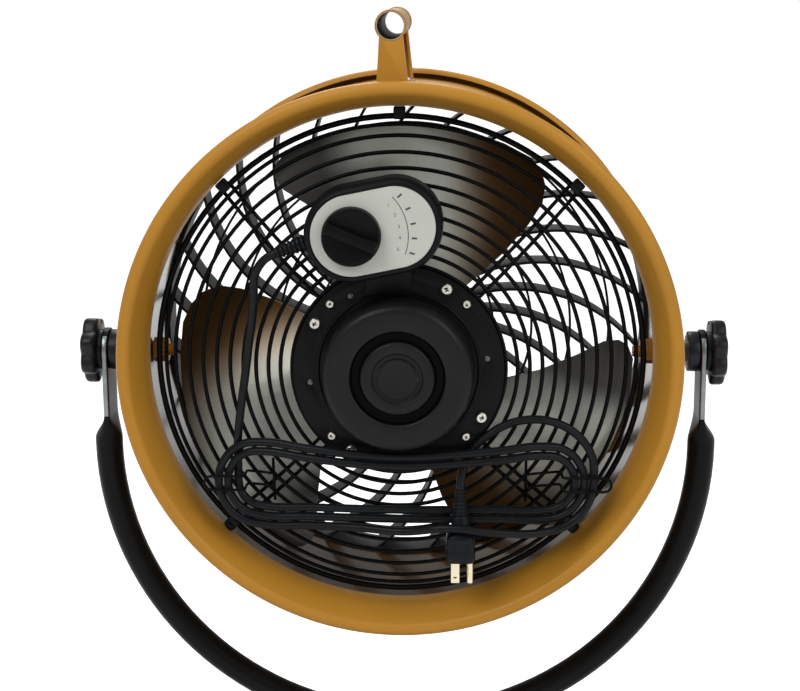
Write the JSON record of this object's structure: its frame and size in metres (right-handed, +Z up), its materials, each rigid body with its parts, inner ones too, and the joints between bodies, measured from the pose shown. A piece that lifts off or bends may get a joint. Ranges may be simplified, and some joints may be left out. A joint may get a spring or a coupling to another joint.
{
  "type": "pedestal fan",
  "caption": "Pedestal fan: a short drum with spiral front guard, domed wire rear guard, motor, speed dial and wound mains lead, tilting in a tube yoke on a telescoping pole.",
  "frame": {"origin": "centre of the base on the floor, straight under the pole", "axes": "+Z up; -Y the way the air leaves, so +Y is the air inlet with the speed dial; +X to the left as seen from behind"},
  "size_m": [0.526, 0.424, 1.2657],
  "materials": {
    "black_enamel": "satin",
    "amber_enamel": "gloss",
    "tan_tube": "satin",
    "guard_wire": "satin",
    "guard_vanes": "satin",
    "base_iron": "cast",
    "zinc_fixings": "zinc plated",
    "yellow_nuts": "yellow plated",
    "black_plastic": "moulded",
    "pale_face": "smooth",
    "blade_alloy": "brushed",
    "motor_steel": "machined",
    "foot_rubber": "moulded",
    "cord_rubber": "extruded",
    "plug_brass": "nickel plated"
  },
  "bodies": {
    "base": {"foot_ring": "foot_rubber", "base_weight": "base_iron", "base_shell": "black_enamel", "pole_socket": "black_enamel", "socket_bolts": "zinc_fixings", "outer_pole": "black_enamel", "clamp_collar": "black_enamel", "guide_bush": "black_plastic"},
    "height_knob": {"height_knob": "black_plastic"},
    "mast": {"inner_pole": "black_enamel", "pole_slider": "black_plastic"},
    "yoke": {"yoke_socket": "black_enamel", "yoke_screws": "zinc_fixings", "yoke_tube": "black_enamel"},
    "swivel_knob": {"swivel_knob": "black_plastic"},
    "rotor": {"rotor_core": "motor_steel", "motor_shaft": "motor_steel", "fan_hub": "motor_steel", "fan_blade_1": "blade_alloy", "fan_blade_2": "blade_alloy", "fan_blade_3": "blade_alloy", "hub_nut": "zinc_fixings"},
    "dial": {"speed_dial": "black_plastic"},
    "left_knob": {"star_knob_left": "black_plastic"},
    "right_knob": {"star_knob_right": "black_plastic"},
    "head": {"drum_shell": "amber_enamel", "handle_legs": "amber_enamel", "handle_tube": "tan_tube", "handle_screws": "zinc_fixings", "front_vanes": "guard_vanes", "front_rings": "guard_vanes", "front_badge": "guard_vanes", "rear_rings": "guard_wire", "rear_ribs": "guard_wire", "guard_clips": "black_plastic", "cord_hooks": "guard_wire", "motor_plate": "black_enamel", "plate_bolts": "zinc_fixings", "rib_screws": "zinc_fixings", "plate_rivets": "zinc_fixings", "motor_rear_shell": "black_enamel", "bearing_cap": "black_enamel", "motor_front_shell": "black_enamel", "stator": "motor_steel", "shaft_bearings": "motor_steel", "pivot_bolts": "zinc_fixings", "pivot_nuts": "yellow_nuts", "pivot_spacers": "black_enamel", "control_box": "black_plastic", "control_face": "pale_face", "control_bracket": "black_enamel", "dimmer": "black_plastic", "strain_relief": "cord_rubber", "cord_lead": "cord_rubber", "cord_winding": "cord_rubber", "cord_tail": "cord_rubber", "plug_relief": "cord_rubber", "plug_body": "cord_rubber", "plug_blades": "plug_brass", "ground_pin": "plug_brass"}
  },
  "joints": [
    {"name": "height_slide", "type": "slide", "parent": "base", "child": "mast", "axis": [0, 0, 1], "range_m": [0, 0.25]},
    {"name": "height_knob_turn", "type": "hinge", "parent": "base", "child": "height_knob", "pos_m": [0, 0.04, 0.576], "axis": [0, 1, 0], "range_deg": [0, 360]},
    {"name": "yoke_swivel", "type": "hinge", "parent": "mast", "child": "yoke", "pos_m": [0, 0, 0.62], "axis": [0, 0, 1], "range_deg": [-180, 180]},
    {"name": "swivel_knob_turn", "type": "hinge", "parent": "yoke", "child": "swivel_knob", "pos_m": [0, 0.04, 0.62], "axis": [0, 1, 0], "range_deg": [0, 360]},
    {"name": "head_tilt", "type": "hinge", "parent": "yoke", "child": "head", "pos_m": [0, 0, 0.987], "axis": [1, 0, 0], "range_deg": [-180, 180]},
    {"name": "fan_spin", "type": "hinge", "parent": "head", "child": "rotor", "pos_m": [0, 0, 0.995], "axis": [0, 1, 0], "continuous": true},
    {"name": "dial_turn", "type": "hinge", "parent": "head", "child": "dial", "pos_m": [0.03268, 0.14, 1.10381], "axis": [0, 1, 0], "range_deg": [0, 62]},
    {"name": "left_knob_turn", "type": "hinge", "parent": "head", "child": "left_knob", "pos_m": [0.26, 0, 0.987], "axis": [1, 0, 0], "range_deg": [0, 360]},
    {"name": "right_knob_turn", "type": "hinge", "parent": "head", "child": "right_knob", "pos_m": [-0.26, 0, 0.987], "axis": [-1, 0, 0], "range_deg": [0, 360]}
  ]
}
